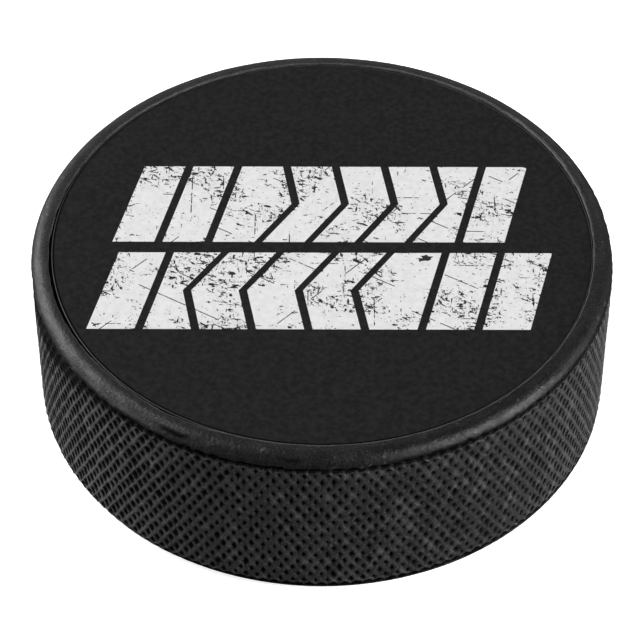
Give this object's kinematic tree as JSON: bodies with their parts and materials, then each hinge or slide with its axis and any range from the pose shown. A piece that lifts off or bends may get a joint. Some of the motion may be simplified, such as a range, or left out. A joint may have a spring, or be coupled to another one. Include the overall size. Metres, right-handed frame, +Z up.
{
  "type": "hockey puck",
  "caption": "Black vulcanised rubber ice hockey puck with rounded edge beads, a gripped side band and a thin printed disc bonded into its recessed face.",
  "frame": {"origin": "centre of the underside, in the plane that the puck rests on", "axes": "+Z up along the puck's axis; +Y towards the top of the printed marks; +X to the right of the marks seen from above"},
  "size_m": [0.0762, 0.0762, 0.0254],
  "materials": {
    "rubber_black": "satin moulded rubber with a raised diamond grip on the side band",
    "adhesive_film": "clear acrylic film",
    "disc_black": "matte printed film",
    "ink_white": "matte ink, scratched and flecked through to the black disc"
  },
  "bodies": {
    "root": {"puck_body": "rubber_black", "disc_adhesive": "adhesive_film", "face_disc": "disc_black", "print_upper_row": "ink_white", "print_lower_row": "ink_white"}
  },
  "joints": []
}
